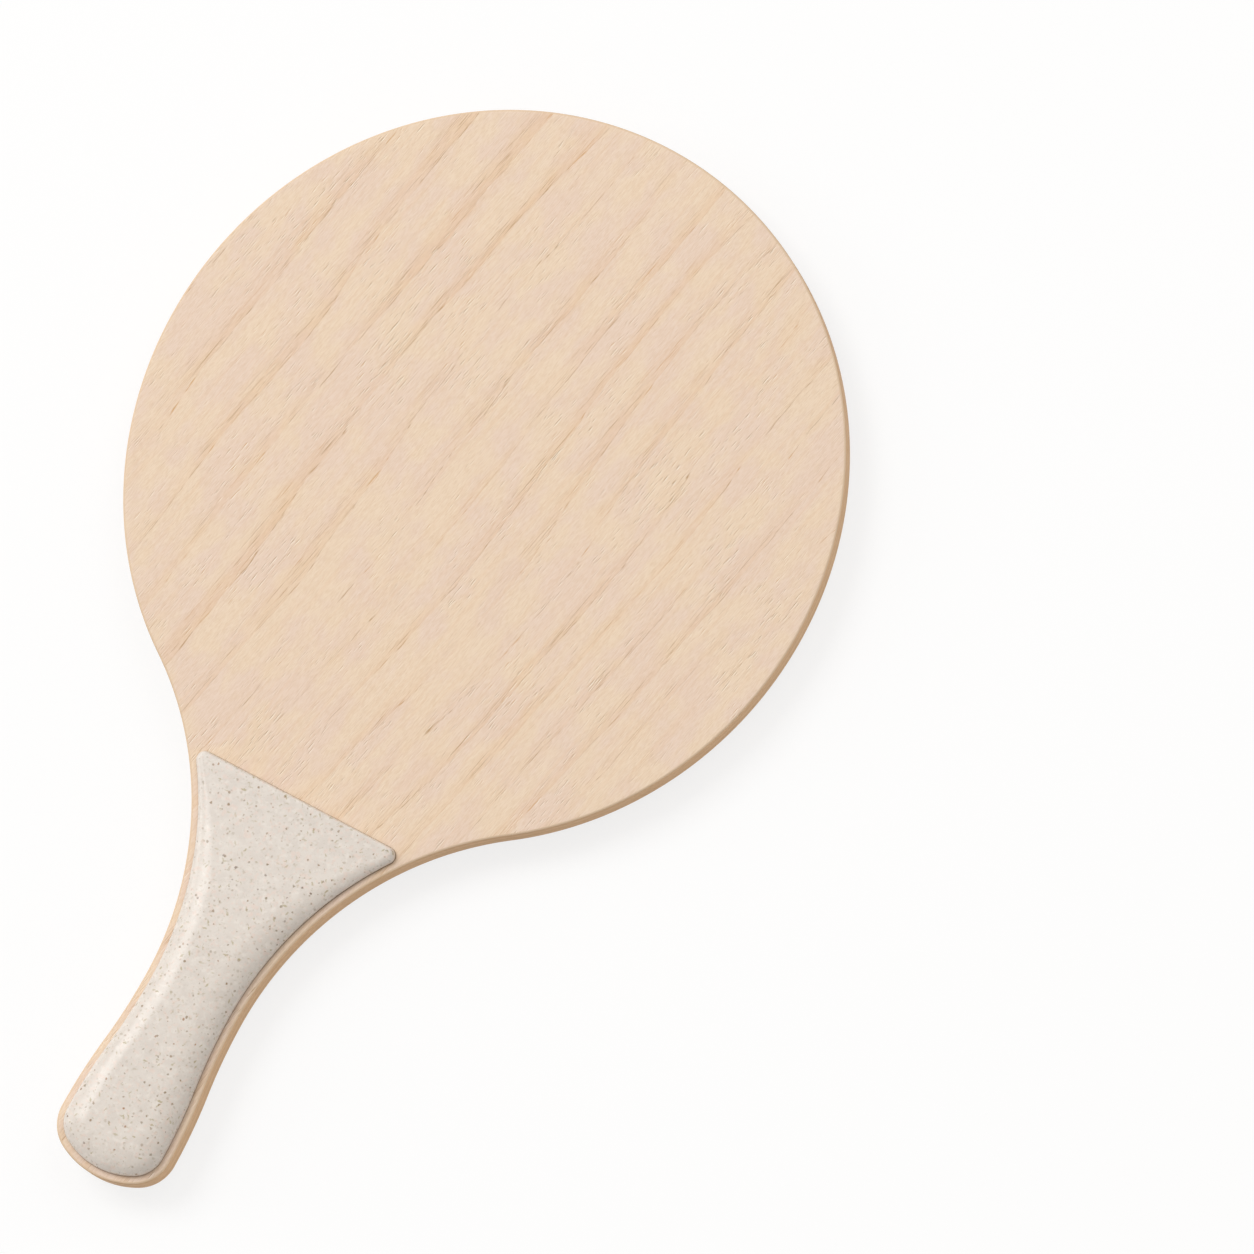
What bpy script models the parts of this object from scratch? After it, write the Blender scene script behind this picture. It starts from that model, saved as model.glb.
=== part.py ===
"""Beach game paddle: a plywood bat whose handle is clad on both sides by a moulded half grip.

The bat lies flat. +Y runs from the butt to the tip, +X across it and +Z out of its front face.
The origin is under the middle of the bat, on the plane that the rear grip's crown rests on.
"""

import math

import bmesh
import bpy
from mathutils import Matrix, Vector

# Bat outline, in metres. Stations are measured along the bat from the end of the butt.
BLADE_WIDTH = 0.236
BLADE_LENGTH = 0.243
HANDLE_LENGTH = 0.137
WAIST_WIDTH = 0.0342
WAIST_STATION = 0.0645
BUTT_WIDTH = 0.0408
BUTT_BOW = 0.0086
BUTT_CORNER_RADIUS = 0.0130

# Plywood: two face veneers, two crossbands and a core, with glue between them
FACE_VENEER = 0.0014
CROSSBAND = 0.0016
CORE_VENEER = 0.0016
GLUE_LINE = 0.0001
ARRIS_RADIUS = 0.0008

# Grip shell: one moulding, used on both sides of the handle, that ends where the blade's oval begins
RIM_WIDTH = 0.0026
SEAT_GAP = 0.0003
FAN_CORNER_RADIUS = 0.0028
GRIP_HEIGHT = 0.0055
FAN_HEIGHT = 0.0026
FAN_SLOPE_LENGTH = 0.057
SKIRT_HEIGHT = 0.0006
HANDLE_FLANK = 0.0093
FAN_FLANK = 0.0024
TOP_FLANK = 0.0009
GRIP_WALL = 0.0020

# Inside of the grip shell: the solid land at its thin end, the ribs and the pin bosses
FAN_LAND = 0.012
CORE_CORNER_RADIUS = 0.0030
RIB_THICKNESS = 0.0014
RIB_BAYS = 4
BOSS_WALL = 0.0016

# Press pins that hold the two shells together through the handle
PIN_DIAMETER = 0.0050
PIN_CLEARANCE = 0.0003
PIN_ENGAGEMENT = 0.0026
PIN_CHAMFER = 0.0006
PIN_RIB_COUNT = 8
PIN_RIB_DEPTH = 0.0003
FAN_PIN_SPREAD = 0.022
FAN_PIN_SETBACK = 0.035
BUTT_PIN_STATION = 0.022

# How finely curves are divided, how far a cutter runs past its cut, and how near counts as on the line
END_STEPS = 3
CORNER_STEPS = 7
OGEE_STEPS = 4
NECK_STEPS = 14
BLADE_STEPS = 42
FAN_CORNER_STEPS = 5
ARRIS_STEPS = 2
FLANK_STEPS = 6
CORE_FLANK_STEPS = 3
HOLE_SIDES = 24
JOIN_HALVINGS = 60
CUT_MARGIN = 0.002
ON_MIDDLE_LINE = 1e-6
SMOOTH_ANGLE = math.radians(34)

# The most of a corner's radius that a rounded flank takes up
FLANK_LIMIT = 0.9

LENGTH = HANDLE_LENGTH + BLADE_LENGTH
BOARD_THICKNESS = 2 * FACE_VENEER + 2 * CROSSBAND + CORE_VENEER + 4 * GLUE_LINE
SEAT_PLANE = BOARD_THICKNESS / 2 + SEAT_GAP
MID_PLANE = SEAT_PLANE + GRIP_HEIGHT
FAN_PIN_STATION = HANDLE_LENGTH - FAN_PIN_SETBACK
WAIST_PIN_STATION = (BUTT_PIN_STATION + FAN_PIN_STATION) / 2
PIN_HOLE_DIAMETER = PIN_DIAMETER + 2 * PIN_CLEARANCE
PIN_LENGTH = 2 * (SEAT_PLANE + PIN_ENGAGEMENT)
PIN_PLACES = {
    "fan_left": (-FAN_PIN_SPREAD / 2, FAN_PIN_STATION),
    "fan_right": (FAN_PIN_SPREAD / 2, FAN_PIN_STATION),
    "waist": (0.0, WAIST_PIN_STATION),
    "butt": (0.0, BUTT_PIN_STATION),
}

# Finishes: colour, roughness
FACE_WOOD = ((0.80, 0.64, 0.47), 0.55)
BAND_WOOD = ((0.56, 0.39, 0.25), 0.70)
CORE_WOOD = ((0.66, 0.49, 0.33), 0.65)
STRAW_COMPOSITE = ((0.77, 0.73, 0.68), 0.38)
PIN_PLASTIC = ((0.70, 0.66, 0.60), 0.45)


class Sample:
    """One point of an outline, its outward normal, and how far an inset can go there."""

    def __init__(self, point, normal, room=math.inf):
        self.point = point
        self.normal = normal
        self.room = room

    def inset(self, distance, height):
        """This point moved in by a distance, at a height, in the bat's frame."""
        moved = self.point - self.normal * distance
        return Vector((moved.x, moved.y - LENGTH / 2, height))

    def mirrored(self):
        """The same point on the other side of the bat's middle line."""
        flip = Vector((-1, 1))
        return Sample(self.point * flip, self.normal * flip, self.room)


def arc(centre, radius, start, end, steps, outward=1, inset=0.0):
    """Samples along an arc, without its last point; outward is -1 where the outline is hollow."""
    inset_radius = radius - outward * inset
    bulges = outward * inset_radius > 0
    room = FLANK_LIMIT * abs(inset_radius) if bulges else math.inf
    samples = []
    for step in range(steps):
        angle = start + (end - start) * step / steps
        radial = Vector((math.cos(angle), math.sin(angle)))
        samples.append(Sample(centre + radial * inset_radius, radial * outward, room))
    return samples


def closed(half):
    """The whole outline, counter-clockwise, from its right half, which starts on the middle line."""
    left = [sample.mirrored() for sample in reversed(half) if sample.point.x > ON_MIDDLE_LINE]
    return half + left


def handle_side(inset=0.0):
    """Right side of the handle from the middle of the butt up to the waist, inset all along."""
    half_butt = BUTT_WIDTH / 2
    half_waist = WAIST_WIDTH / 2
    end_radius = (half_butt**2 + BUTT_BOW**2) / (2 * BUTT_BOW)
    corner_x = half_butt - BUTT_CORNER_RADIUS
    corner_drop = math.sqrt((end_radius - BUTT_CORNER_RADIUS) ** 2 - corner_x**2)
    corner_y = end_radius - corner_drop
    turn = math.atan2(-corner_drop, corner_x)
    end_centre = Vector((0, end_radius))
    corner_centre = Vector((corner_x, corner_y))
    samples = arc(end_centre, end_radius, -math.pi / 2, turn, END_STEPS, inset=inset)
    samples += arc(corner_centre, BUTT_CORNER_RADIUS, turn, 0, CORNER_STEPS, inset=inset)

    # The swell above the waist is an ogee of two equal arcs
    run = WAIST_STATION - corner_y
    sweep = 2 * math.atan2(half_butt - half_waist, run)
    radius = run / (2 * math.sin(sweep))
    bulge = Vector((half_butt - radius, corner_y))
    hollow = Vector((half_waist + radius, WAIST_STATION))
    samples += arc(bulge, radius, 0, sweep, OGEE_STEPS, inset=inset)
    samples += arc(hollow, radius, math.pi + sweep, math.pi, OGEE_STEPS, -1, inset)
    return samples


def oval_point(angle):
    """Point and outward normal of the blade's oval at an angle of its parameter."""
    half_width = BLADE_WIDTH / 2
    half_length = BLADE_LENGTH / 2
    across = math.cos(angle)
    along = math.sin(angle)
    point = Vector((half_width * across, LENGTH - half_length + half_length * along))
    normal = Vector((across / half_width, along / half_length)).normalized()
    return point, normal


def neck_join():
    """Where the neck arc, square to the waist, runs into the blade's oval: oval angle, arc radius."""
    low = -math.pi / 2
    high = 0.0
    for _ in range(JOIN_HALVINGS):
        angle = (low + high) / 2
        point, normal = oval_point(angle)
        radius = (WAIST_STATION - point.y) / normal.y
        if point.x + normal.x * radius < WAIST_WIDTH / 2 + radius:
            low = angle
        else:
            high = angle
    return angle, radius


JOIN_ANGLE, NECK_RADIUS = neck_join()
NECK_CENTRE = Vector((WAIST_WIDTH / 2 + NECK_RADIUS, WAIST_STATION))


def bat_outline():
    """The whole bat, through handle, neck and blade."""
    samples = handle_side()
    _, join_normal = oval_point(JOIN_ANGLE)
    neck_end = math.atan2(-join_normal.y, -join_normal.x)
    samples += arc(NECK_CENTRE, NECK_RADIUS, math.pi, neck_end, NECK_STEPS, -1)
    for step in range(BLADE_STEPS):
        angle = JOIN_ANGLE + (math.pi / 2 - JOIN_ANGLE) * step / BLADE_STEPS
        samples.append(Sample(*oval_point(angle)))
    samples.append(Sample(Vector((0, LENGTH)), Vector((0, 1))))
    return closed(samples)


def grip_outline(rim, top_station, corner_radius):
    """Outline of the grip, a rim inside the bat, with a straight top across the fan."""
    samples = handle_side(rim)
    reach = NECK_RADIUS + rim + corner_radius
    corner_y = top_station - corner_radius
    corner_x = NECK_CENTRE.x - math.sqrt(reach**2 - (corner_y - WAIST_STATION) ** 2)
    corner_centre = Vector((corner_x, corner_y))
    towards = corner_centre - NECK_CENTRE
    neck_end = math.atan2(towards.y, towards.x)
    samples += arc(NECK_CENTRE, NECK_RADIUS, math.pi, neck_end, NECK_STEPS, -1, rim)
    samples += arc(corner_centre, corner_radius, neck_end - math.pi, math.pi / 2, FAN_CORNER_STEPS)
    top = Vector((corner_x, top_station))
    samples.append(Sample(top, Vector((0, 1)), FLANK_LIMIT * corner_radius))
    return closed(samples)


def fan_share(station):
    """0 along the handle, easing to 1 at the top of the fan."""
    share = 1 - (HANDLE_LENGTH - station) / FAN_SLOPE_LENGTH
    share = min(max(share, 0.0), 1.0)
    return share * share * (3 - 2 * share)


def crown_height(station):
    """Height of the grip's crown above the seat, falling from the handle to the top of the fan."""
    return GRIP_HEIGHT + (FAN_HEIGHT - GRIP_HEIGHT) * fan_share(station)


def flank_width(sample, shrink):
    """Width of the rounded flank at a point: wide on the handle, slim along the top of the fan."""
    side = HANDLE_FLANK + (FAN_FLANK - HANDLE_FLANK) * fan_share(sample.point.y)
    side = max(side - shrink, 0.0)
    slim = min(TOP_FLANK, side)
    width = side + (slim - side) * max(sample.normal.y, 0.0)
    return min(width, sample.room)


def flank_rings(outline, steps, skirt, shrink):
    """Rings of an elliptic flank from the skirt up to the crown, shrunk by a wall on every side."""
    rings = []
    for step in range(steps + 1):
        angle = math.pi / 2 * step / steps
        ring = []
        for sample in outline:
            width = flank_width(sample, shrink) * (1 - math.cos(angle))
            station = (sample.point - sample.normal * width).y
            rise = crown_height(station) - shrink - skirt
            ring.append(sample.inset(width, skirt + rise * math.sin(angle)))
        rings.append(ring)
    return rings


def finish(name, colour, roughness):
    """A plain material for one piece."""
    material = bpy.data.materials.new(name)
    material.use_nodes = True
    shader = material.node_tree.nodes["Principled BSDF"]
    shader.inputs["Base Color"].default_value = (*colour, 1)
    shader.inputs["Roughness"].default_value = roughness
    shader.inputs["Metallic"].default_value = 0
    return material


def place(name, mesh, look=None, location=(0, 0, 0), turned=False):
    """One named object on the bat's mid plane, turned over about the bat's length for the rear."""
    obj = bpy.data.objects.new(name, mesh)
    bpy.context.scene.collection.objects.link(obj)
    obj.parent = BAT
    obj.location = location
    if turned:
        obj.rotation_euler = (0, math.pi, 0)
    if look is None:
        obj.hide_render = True
        obj.display_type = "WIRE"
    else:
        if not mesh.materials:
            mesh.materials.append(finish(mesh.name, *look))
        mesh.shade_smooth()
        mesh.set_sharp_from_angle(angle=SMOOTH_ANGLE)
    return obj


def loft(name, rings, ladder=False):
    """A closed mesh through rings of matching points; a ladder top has rungs across the middle line."""
    shape = bmesh.new()
    rows = [[shape.verts.new(point) for point in ring] for ring in rings]
    count = len(rows[0])
    for lower, upper in zip(rows, rows[1:]):
        for i in range(count):
            j = (i + 1) % count
            shape.faces.new((lower[i], lower[j], upper[j], upper[i]))
    shape.faces.new(reversed(rows[0]))
    top = rows[-1]
    if ladder:
        shape.faces.new((top[0], top[1], top[-1]))
        for i in range(1, count // 2):
            shape.faces.new((top[i], top[i + 1], top[count - i - 1], top[count - i]))
    else:
        shape.faces.new(top)
    mesh = bpy.data.meshes.new(name)
    shape.to_mesh(mesh)
    shape.free()
    return mesh


def cylinder(name, diameter, low, high, x, station):
    """An upright round cutter between two heights, at a place on the bat."""
    shape = bmesh.new()
    middle = Matrix.Translation((x, station - LENGTH / 2, (low + high) / 2))
    bmesh.ops.create_cone(
        shape,
        cap_ends=True,
        segments=HOLE_SIDES,
        radius1=diameter / 2,
        radius2=diameter / 2,
        depth=high - low,
        matrix=middle,
    )
    mesh = bpy.data.meshes.new(name)
    shape.to_mesh(mesh)
    shape.free()
    return place(name, mesh)


def slab(name, low, high):
    """A box-shaped cutter between two corners."""
    shape = bmesh.new()
    low = Vector(low)
    high = Vector(high)
    size = Matrix.Diagonal((*(high - low), 1))
    bmesh.ops.create_cube(shape, size=1, matrix=Matrix.Translation((low + high) / 2) @ size)
    mesh = bpy.data.meshes.new(name)
    shape.to_mesh(mesh)
    shape.free()
    return place(name, mesh)


def cut(obj, cutter):
    """Take a cutter's shape out of an object."""
    modifier = obj.modifiers.new(cutter.name, "BOOLEAN")
    modifier.operation = "DIFFERENCE"
    modifier.object = cutter


def settled(name, obj):
    """The mesh of an object with its cuts made."""
    bpy.context.view_layer.update()
    graph = bpy.context.evaluated_depsgraph_get()
    mesh = bpy.data.meshes.new_from_object(obj.evaluated_get(graph))
    mesh.name = name
    return mesh


def veneer_mesh(name, thickness, arris=0.0):
    """One ply of the bat on its own lower face, its upper edge rounded by the arris."""
    outline = bat_outline()
    levels = [(0.0, 0.0)]
    if arris:
        for step in range(ARRIS_STEPS + 1):
            angle = math.pi / 2 * step / ARRIS_STEPS
            levels.append((arris * (1 - math.cos(angle)), thickness - arris * (1 - math.sin(angle))))
    else:
        levels.append((0.0, thickness))
    rings = [[sample.inset(inset, height) for sample in outline] for inset, height in levels]
    return loft(name, rings)


def build_plies():
    """The five plies, each cut through by the pin holes."""
    face = veneer_mesh("face_veneer", FACE_VENEER, ARRIS_RADIUS)
    band = veneer_mesh("crossband", CROSSBAND)
    core = veneer_mesh("core_veneer", CORE_VENEER)
    band_level = CORE_VENEER / 2 + GLUE_LINE
    face_level = band_level + CROSSBAND + GLUE_LINE
    plies = [
        place("front_face_veneer", face, FACE_WOOD, (0, 0, face_level)),
        place("front_crossband", band, BAND_WOOD, (0, 0, band_level)),
        place("core_veneer", core, CORE_WOOD, (0, 0, -CORE_VENEER / 2)),
        place("rear_crossband", band, BAND_WOOD, (0, 0, -band_level), turned=True),
        place("rear_face_veneer", face, FACE_WOOD, (0, 0, -face_level), turned=True),
    ]
    reach = BOARD_THICKNESS / 2 + CUT_MARGIN
    for pin, (x, station) in PIN_PLACES.items():
        hole = cylinder("pin_hole_" + pin, PIN_HOLE_DIAMETER, -reach, reach, x, station)
        for ply in plies:
            cut(ply, hole)


def mould_core():
    """The core that hollows the grip: slotted for the ribs and bored for the pin bosses."""
    outline = grip_outline(RIM_WIDTH + GRIP_WALL, HANDLE_LENGTH - FAN_LAND, CORE_CORNER_RADIUS)
    rings = [[sample.inset(0.0, -CUT_MARGIN) for sample in outline]]
    rings += flank_rings(outline, CORE_FLANK_STEPS, 0.0, GRIP_WALL)
    core = place("mould_core", loft("mould_core", rings, ladder=True))

    low = -2 * CUT_MARGIN
    high = GRIP_HEIGHT + CUT_MARGIN
    half_rib = RIB_THICKNESS / 2
    half_reach = BLADE_WIDTH / 2
    end = LENGTH / 2
    cut(core, slab("spine_slot", (-half_rib, -end, low), (half_rib, end, high)))
    # Cross ribs stand in even bays, from the butt pin through the waist pin to the fan pins
    for bay in range(RIB_BAYS + 1):
        share = bay / RIB_BAYS
        y = BUTT_PIN_STATION + (FAN_PIN_STATION - BUTT_PIN_STATION) * share - LENGTH / 2
        corners = (-half_reach, y - half_rib, low), (half_reach, y + half_rib, high)
        cut(core, slab("rib_slot", *corners))
    boss_diameter = PIN_HOLE_DIAMETER + 2 * BOSS_WALL
    for pin, (x, station) in PIN_PLACES.items():
        cut(core, cylinder("boss_" + pin, boss_diameter, low, high, x, station))
    return core


def build_grip():
    """Both grip shells, from one moulded form."""
    outline = grip_outline(RIM_WIDTH, HANDLE_LENGTH, FAN_CORNER_RADIUS)
    rings = [[sample.inset(0.0, 0.0) for sample in outline]]
    rings += flank_rings(outline, FLANK_STEPS, SKIRT_HEIGHT, 0.0)
    form = place("grip_form", loft("grip_form", rings, ladder=True))
    cut(form, mould_core())
    depth = PIN_ENGAGEMENT + PIN_CLEARANCE
    for pin, (x, station) in PIN_PLACES.items():
        cut(form, cylinder("socket_" + pin, PIN_HOLE_DIAMETER, -CUT_MARGIN, depth, x, station))
    shell = settled("grip_shell", form)
    place("front_grip_shell", shell, STRAW_COMPOSITE, (0, 0, SEAT_PLANE))
    place("rear_grip_shell", shell, STRAW_COMPOSITE, (0, 0, -SEAT_PLANE), turned=True)


def build_pins():
    """The press pins, with crush ribs along their length and chamfered ends."""
    radius = PIN_DIAMETER / 2
    levels = [
        (PIN_CHAMFER, -PIN_LENGTH / 2),
        (0.0, PIN_CHAMFER - PIN_LENGTH / 2),
        (0.0, PIN_LENGTH / 2 - PIN_CHAMFER),
        (PIN_CHAMFER, PIN_LENGTH / 2),
    ]
    # Each rib takes three points: two in the valley beside it and one on its crest
    valley = radius - PIN_RIB_DEPTH
    radii = [radius, valley, valley] * PIN_RIB_COUNT
    rings = []
    for inset, height in levels:
        ring = []
        for i, reach in enumerate(radii):
            angle = 2 * math.pi * i / len(radii)
            ring.append(Vector((math.cos(angle), math.sin(angle), 0)) * (reach - inset))
            ring[-1].z = height
        rings.append(ring)
    mesh = loft("press_pin", rings)
    for pin, (x, station) in PIN_PLACES.items():
        place("grip_pin_" + pin, mesh, PIN_PLASTIC, (x, station - LENGTH / 2, 0))


for old in list(bpy.data.objects):
    bpy.data.objects.remove(old)
BAT = bpy.data.objects.new("bat_mid_plane", None)
bpy.context.scene.collection.objects.link(BAT)
BAT.location = (0, 0, MID_PLANE)

build_plies()
build_grip()
build_pins()
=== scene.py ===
"""Looks of the beach game paddle: a bare plywood bat with straw-composite grips, in a plain white studio.

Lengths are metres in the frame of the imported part: +Y runs from the butt to the tip, +X across the bat and
+Z out of its front face. Fields that end in _mm are sizes of a surface pattern, in millimetres.
"""

import logging
import math
from collections.abc import Sequence
from dataclasses import dataclass
from enum import Enum

import bmesh
import bpy
from mathutils import Matrix, Vector


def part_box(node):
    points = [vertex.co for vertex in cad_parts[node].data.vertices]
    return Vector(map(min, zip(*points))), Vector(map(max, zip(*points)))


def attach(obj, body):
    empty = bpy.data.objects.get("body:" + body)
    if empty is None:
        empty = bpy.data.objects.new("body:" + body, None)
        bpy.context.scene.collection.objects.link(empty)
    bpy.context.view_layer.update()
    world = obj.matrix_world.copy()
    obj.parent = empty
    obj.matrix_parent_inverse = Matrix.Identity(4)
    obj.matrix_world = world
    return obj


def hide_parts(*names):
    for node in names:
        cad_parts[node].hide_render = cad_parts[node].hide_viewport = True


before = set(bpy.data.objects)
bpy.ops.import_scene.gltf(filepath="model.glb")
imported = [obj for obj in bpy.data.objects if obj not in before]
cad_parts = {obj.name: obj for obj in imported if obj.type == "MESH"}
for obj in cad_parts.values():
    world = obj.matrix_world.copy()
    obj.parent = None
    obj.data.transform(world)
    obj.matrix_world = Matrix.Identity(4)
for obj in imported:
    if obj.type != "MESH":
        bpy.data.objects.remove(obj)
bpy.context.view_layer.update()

LOG = logging.getLogger("beach_paddle")
BODY = "root"
MM_PER_METRE = 1000
SMOOTH_ANGLE = math.radians(34)
EDGE_ATTRIBUTE = "edge_share"
WHITE = "#FFFFFF"

Colour = tuple[float, float, float, float]
Size = tuple[float, float, float]
Span = tuple[float, float]
Key = str | int
Material = bpy.types.Material
Tree = bpy.types.NodeTree
Shader = bpy.types.Node
Socket = bpy.types.NodeSocket
Inputs = dict[Key, object]
Shape = bmesh.types.BMesh
Ring = list[Vector]
Loop = list[bmesh.types.BMVert]


class Side(Enum):
    """The two faces of the bat, by the sign of their outward Z."""

    FRONT = 1
    REAR = -1


def linear(hex_colour: str) -> Colour:
    """Turn an sRGB colour into the linear values that shaders take, by the standard's own curve.

    Args:
        hex_colour: A hash sign and six hex digits.

    Returns:
        Linear red, green and blue, and an alpha of 1.
    """
    channels = [int(hex_colour[place : place + 2], 16) / 255 for place in (1, 3, 5)]
    red, green, blue = (
        value / 12.92 if value <= 0.04045 else ((value + 0.055) / 1.055) ** 2.4 for value in channels
    )
    return red, green, blue, 1.0


def add_node(
    tree: Tree, kind: str, inputs: Inputs | None = None, output: Key = 0, **settings: object
) -> Socket:
    """Add a shader node with its settings and links.

    Args:
        tree: The tree that the node goes into.
        kind: Blender's name for the kind of node, without the prefix that they share.
        inputs: Input sockets by name or number; a socket as value is linked, anything else is set.
        output: The output socket that is wanted, by name or number.
        **settings: Properties of the node.

    Returns:
        That output socket.
    """
    node = tree.nodes.new(f"ShaderNode{kind}")
    for name, value in settings.items():
        setattr(node, name, value)
    for key, value in (inputs or {}).items():
        if isinstance(value, Socket):
            tree.links.new(value, node.inputs[key])
        else:
            node.inputs[key].default_value = value
    return node.outputs[output]


def in_cells(tree: Tree, place: Socket, size_mm: Size) -> Socket:
    """Scale coordinates in metres so that one unit is one cell of a real size along X, Y and Z."""
    scale = tuple(MM_PER_METRE / size for size in size_mm)
    return add_node(tree, "VectorMath", {0: place, 1: scale}, operation="MULTIPLY")


def layered(tree: Tree, ground: object, layers: Sequence[tuple[Socket, object]]) -> Socket:
    """Lay colours over a ground.

    Args:
        tree: The material's nodes.
        ground: The colour underneath, a value or a socket.
        layers: A share from 0 to 1 and a colour for each layer, from the lowest up.

    Returns:
        The colour on top.
    """
    for share, colour in layers:
        ground = add_node(tree, "Mix", {0: share, 6: ground, 7: colour}, 2, data_type="RGBA")
    return ground


@dataclass(frozen=True)
class Blots:
    """Soft blots of a real size: a noise, eased from 0 at a low level to the top share at a high one."""

    size_mm: Size
    detail: float
    low: float = 0.0
    high: float = 1.0
    top: float = 1.0

    def draw(self, tree: Tree, place: Socket, base: float = 0.0) -> Socket:
        """Add the blots' nodes.

        Args:
            tree: The material's nodes.
            place: Coordinates in metres.
            base: The value between the blots.

        Returns:
            The blots, from the base to the top share.
        """
        cells = in_cells(tree, place, self.size_mm)
        noise = add_node(tree, "TexNoise", {"Vector": cells, "Scale": 1.0, "Detail": self.detail})
        span = {0: noise, 1: self.low, 2: self.high, 3: base, 4: self.top}
        return add_node(tree, "MapRange", span, interpolation_type="SMOOTHSTEP")


@dataclass(frozen=True)
class Specks:
    """Specks with soft edges, at most one in each cell of a real size.

    A chosen share of the cells hold one. Lots drawn for each cell set its size, from the least share of the
    radius, itself a share of a cell, up to all of it, and its strength, from the faintest to the strongest.
    """

    cell_mm: Size
    radius: float
    chosen: float
    faintest: float
    strongest: float
    least_share: float = 0.4
    soft_share: float = 0.5

    def draw(self, tree: Tree, place: Socket) -> tuple[Socket, Socket]:
        """Add the specks' nodes.

        Args:
            tree: The material's nodes.
            place: Coordinates in metres.

        Returns:
            The specks, as shares from 0 to 1, and a further lot from 0 to 1 for each cell.
        """
        cells = in_cells(tree, place, self.cell_mm)
        distance = add_node(tree, "TexVoronoi", {"Vector": cells, "Scale": 1.0}, "Distance")
        lots = add_node(tree, "SeparateColor", {0: distance.node.outputs["Color"]}).node.outputs
        size = {0: lots["Red"], 2: self.chosen, 3: self.radius, 4: self.radius * self.least_share}
        nearness = {0: add_node(tree, "MapRange", size), 1: distance}
        nearness = add_node(tree, "Math", nearness, operation="SUBTRACT")
        edge = {0: nearness, 1: 0.0, 2: self.radius * self.soft_share}
        shape = add_node(tree, "MapRange", edge, interpolation_type="SMOOTHSTEP")
        held = add_node(tree, "Math", {0: lots["Red"], 1: self.chosen}, operation="LESS_THAN")
        strength = add_node(tree, "MapRange", {0: lots["Green"], 3: self.faintest, 4: self.strongest})
        for factor in (held, strength):
            shape = add_node(tree, "Math", {0: shape, 1: factor}, operation="MULTIPLY")
        return shape, lots["Blue"]


@dataclass(frozen=True)
class EdgeTone:
    """The tan of a sanded veneer edge, one where fibres run along it and another where they are cut across.

    Fibre ends are drawn as tufts of half a millimetre, far coarser than real ones, so that they show.
    """

    along: str
    across: str
    grain: tuple[float, float, float]
    deep: str = "#B78F64"
    layers: Blots = Blots((6.0, 6.0, 0.4), 3.0, 0.45, 0.75, top=0.22)
    fibre_ends: Blots = Blots((0.5, 0.5, 0.5), 2.0, 0.52, 0.75, top=0.35)
    square_cut: Span = (0.25, 0.95)

    def draw(self, tree: Tree, place: Socket) -> Socket:
        """Add the edge's nodes.

        Args:
            tree: The material's nodes.
            place: Coordinates in metres.

        Returns:
            The edge's colour.
        """
        facing = add_node(tree, "NewGeometry", output="Normal")
        cut = add_node(tree, "VectorMath", {0: facing, 1: self.grain}, "Value", operation="DOT_PRODUCT")
        cut = add_node(tree, "Math", {0: cut}, operation="ABSOLUTE")
        low, high = self.square_cut
        squareness = add_node(tree, "MapRange", {0: cut, 1: low, 2: high}, interpolation_type="SMOOTHSTEP")
        ends = {0: self.fibre_ends.draw(tree, place), 1: squareness}
        ends = add_node(tree, "Math", ends, operation="MULTIPLY")
        layers = (
            (squareness, linear(self.across)),
            (self.layers.draw(tree, place), linear(self.deep)),
            (ends, linear(self.deep)),
        )
        return layered(tree, linear(self.along), layers)


LONG_GRAIN_EDGE = EdgeTone(along="#E3BC91", across="#CBA57B", grain=(0, 1, 0))
CROSS_GRAIN_EDGE = EdgeTone(along="#CFA981", across="#DDB68C", grain=(1, 0, 0))


class Finish:
    """A named surface that makes its own node material.

    Wood and polypropylene both have a refractive index of about 1.5, and neither is a metal.
    """

    name: str
    smoothest: float
    dullest: float
    relief_mm: float
    relief_share: float
    ior: float = 1.5
    metallic: float = 0.0

    def paint(self, tree: Tree, shader: Shader) -> None:
        """Link the finish's patterns to the shader."""
        raise NotImplementedError

    def vary_sheen(self, tree: Tree, shader: Shader, pattern: Socket, top: float) -> None:
        """Make the surface duller where a pattern is higher."""
        roughness = {0: pattern, 2: top, 3: self.smoothest, 4: self.dullest}
        tree.links.new(add_node(tree, "MapRange", roughness), shader.inputs["Roughness"])

    def emboss(self, tree: Tree, shader: Shader, height: Socket) -> None:
        """Give the surface a relief of its own depth, with its height as a share of that depth."""
        bump = {"Height": height, "Strength": self.relief_share, "Distance": self.relief_mm / MM_PER_METRE}
        tree.links.new(add_node(tree, "Bump", bump), shader.inputs["Normal"])

    def material(self) -> Material:
        """Make the finish's material.

        Returns:
            The new material.
        """
        material = bpy.data.materials.new(self.name)
        material.use_nodes = True
        shader = material.node_tree.nodes["Principled BSDF"]
        shader.inputs["IOR"].default_value = self.ior
        shader.inputs["Metallic"].default_value = self.metallic
        self.paint(material.node_tree, shader)
        return material


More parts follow.
